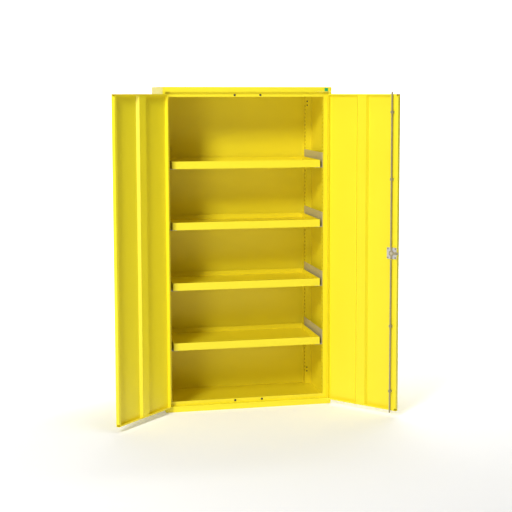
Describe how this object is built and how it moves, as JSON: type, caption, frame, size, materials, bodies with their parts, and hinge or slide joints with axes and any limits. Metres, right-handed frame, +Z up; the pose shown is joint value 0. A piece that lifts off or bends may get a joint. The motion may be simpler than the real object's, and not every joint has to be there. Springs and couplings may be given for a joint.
{
  "type": "flammable storage cabinet",
  "caption": "Tall steel hazardous-substance cupboard with pan doors on knuckle hinges, lift-out spill trays, a sump base and a three-point rod lock.",
  "frame": {"origin": "centre of the base, on the floor", "axes": "+X towards the locking door's hinges (the right as seen from the front), -Y out of the front, +Z up"},
  "size_m": [1.7128, 0.9812, 2],
  "materials": {
    "powder_yellow": "satin powder coat",
    "galvanised": "galvanised",
    "zinc_white": "bright zinc plate",
    "dark_steel": "passivated zinc",
    "black_plastic": "fine texture",
    "rubber": "matt",
    "badge_green": "gloss"
  },
  "bodies": {
    "carcass": {"side_panel_left": "powder_yellow", "post_front_left": "powder_yellow", "post_rear_left": "powder_yellow", "side_panel_right": "powder_yellow", "post_front_right": "powder_yellow", "post_rear_right": "powder_yellow", "back_panel": "powder_yellow", "top_panel": "powder_yellow", "top_rail": "powder_yellow", "base_pan": "powder_yellow", "front_plinth": "powder_yellow", "base_channel": "galvanised", "badge_blank": "badge_green", "tray_bracket_1_left": "galvanised", "tray_bracket_1_right": "galvanised", "tray_bracket_2_left": "galvanised", "tray_bracket_2_right": "galvanised", "tray_bracket_3_left": "galvanised", "tray_bracket_3_right": "galvanised", "tray_bracket_4_left": "galvanised", "tray_bracket_4_right": "galvanised", "buffer_top_left": "rubber", "buffer_top_right": "rubber", "buffer_bottom_left": "rubber", "buffer_bottom_right": "rubber", "hinge_1_left_carcass_half": "powder_yellow", "hinge_2_left_carcass_half": "powder_yellow", "hinge_3_left_carcass_half": "powder_yellow", "hinge_1_right_carcass_half": "powder_yellow", "hinge_2_right_carcass_half": "powder_yellow", "hinge_3_right_carcass_half": "powder_yellow"},
    "left_door": {"door_leaf_left": "powder_yellow", "door_stiffener_left": "powder_yellow", "hinge_1_left_door_half": "powder_yellow", "hinge_2_left_door_half": "powder_yellow", "hinge_3_left_door_half": "powder_yellow"},
    "right_door": {"door_leaf_right": "powder_yellow", "door_stiffener_right": "powder_yellow", "hinge_1_right_door_half": "powder_yellow", "hinge_2_right_door_half": "powder_yellow", "hinge_3_right_door_half": "powder_yellow", "lock_housing": "zinc_white", "handle_escutcheon": "black_plastic", "rod_guide_1": "dark_steel", "rod_guide_2": "dark_steel", "rod_guide_3": "dark_steel", "rod_guide_4": "dark_steel"},
    "handle": {"handle_wing": "black_plastic", "lock_spindle": "dark_steel", "lock_cam": "dark_steel"},
    "key_cylinder": {"lock_cylinder": "zinc_white"},
    "upper_rod": {"lock_rod_upper": "dark_steel"},
    "lower_rod": {"lock_rod_lower": "dark_steel"},
    "spill_tray_1": {"tray_1": "powder_yellow"},
    "spill_tray_2": {"tray_2": "powder_yellow"},
    "spill_tray_3": {"tray_3": "powder_yellow"},
    "spill_tray_4": {"tray_4": "powder_yellow"}
  },
  "joints": [
    {"name": "left_door_hinge", "type": "hinge", "parent": "carcass", "child": "left_door", "pos_m": [-0.5135, -0.2825, 0], "axis": [0, 0, 1], "range_deg": [-46.2, 133.8]},
    {"name": "right_door_hinge", "type": "hinge", "parent": "carcass", "child": "right_door", "pos_m": [0.5135, -0.2825, 0], "axis": [0, 0, 1], "range_deg": [-130.5, 49.5]},
    {"name": "handle_turn", "type": "hinge", "parent": "right_door", "child": "handle", "pos_m": [0.81726, -0.6497, 1.004], "axis": [0.7604, 0.6494, 0], "range_deg": [-1, 91]},
    {"name": "key_turn", "type": "hinge", "parent": "handle", "child": "key_cylinder", "pos_m": [0.81726, -0.6497, 1.004], "axis": [0.7604, 0.6494, 0], "range_deg": [0, 90]},
    {"name": "upper_rod_slide", "type": "slide", "parent": "right_door", "child": "upper_rod", "axis": [0, 0, 1], "range_m": [-0.036, 0]},
    {"name": "lower_rod_slide", "type": "slide", "parent": "right_door", "child": "lower_rod", "axis": [0, 0, 1], "range_m": [-0.0005, 0.0365]},
    {"name": "tray_1_lift", "type": "slide", "parent": "carcass", "child": "spill_tray_1", "axis": [0, 0, 1], "range_m": [0, 0.03]},
    {"name": "tray_2_lift", "type": "slide", "parent": "carcass", "child": "spill_tray_2", "axis": [0, 0, 1], "range_m": [0, 0.03]},
    {"name": "tray_3_lift", "type": "slide", "parent": "carcass", "child": "spill_tray_3", "axis": [0, 0, 1], "range_m": [0, 0.03]},
    {"name": "tray_4_lift", "type": "slide", "parent": "carcass", "child": "spill_tray_4", "axis": [0, 0, 1], "range_m": [0, 0.03]}
  ],
  "couplings": [
    {"joint": "handle_turn", "follows": "upper_rod_slide", "rad_per_m": -43.6},
    {"joint": "lower_rod_slide", "follows": "upper_rod_slide", "ratio": -1}
  ]
}
